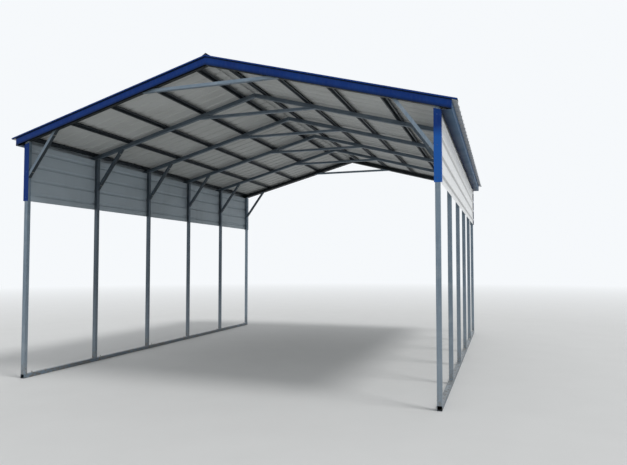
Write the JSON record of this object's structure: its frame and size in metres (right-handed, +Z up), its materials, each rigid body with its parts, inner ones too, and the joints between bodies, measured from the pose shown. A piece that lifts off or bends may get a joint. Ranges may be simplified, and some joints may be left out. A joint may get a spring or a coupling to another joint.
{
  "type": "carport",
  "caption": "Open-framed steel carport with a gabled roof of ribbed sheet, braced tube frames on base rails, sheet strips under the eaves and folded blue trims.",
  "frame": {"origin": "on the ground in the middle of the plan", "axes": "+X to the right seen from the front, +Y along the carport from the front to the rear, +Z up"},
  "size_m": [6.8914, 7.8056, 4.726],
  "materials": {
    "galvanised_steel": "galvanised, dull with a fine spangle",
    "white_sheet": "factory-painted white, satin",
    "blue_trim": "factory-painted blue, satin"
  },
  "bodies": {
    "root": {"base_rail_left": "galvanised_steel", "base_rail_right": "galvanised_steel", "corner_trim_front_left": "blue_trim", "corner_trim_front_right": "blue_trim", "corner_trim_rear_left": "blue_trim", "corner_trim_rear_right": "blue_trim", "eave_trim_left": "blue_trim", "eave_trim_right": "blue_trim", "gable_trim_front_left": "blue_trim", "gable_trim_front_right": "blue_trim", "gable_trim_rear_left": "blue_trim", "gable_trim_rear_right": "blue_trim", "knee_braces_left": "galvanised_steel", "knee_braces_right": "galvanised_steel", "peak_brace_1": "galvanised_steel", "peak_brace_2": "galvanised_steel", "peak_brace_3": "galvanised_steel", "peak_brace_4": "galvanised_steel", "peak_brace_5": "galvanised_steel", "peak_brace_6": "galvanised_steel", "post_1_left": "galvanised_steel", "post_1_right": "galvanised_steel", "post_2_left": "galvanised_steel", "post_2_right": "galvanised_steel", "post_3_left": "galvanised_steel", "post_3_right": "galvanised_steel", "post_4_left": "galvanised_steel", "post_4_right": "galvanised_steel", "post_5_left": "galvanised_steel", "post_5_right": "galvanised_steel", "post_6_left": "galvanised_steel", "post_6_right": "galvanised_steel", "purlins_left": "galvanised_steel", "purlins_right": "galvanised_steel", "rafters_1": "galvanised_steel", "rafters_2": "galvanised_steel", "rafters_3": "galvanised_steel", "rafters_4": "galvanised_steel", "rafters_5": "galvanised_steel", "rafters_6": "galvanised_steel", "ridge_cap": "blue_trim", "roof_sheets_left": "white_sheet", "roof_sheets_right": "white_sheet", "side_panel_left": "white_sheet", "side_panel_right": "white_sheet"}
  },
  "joints": []
}
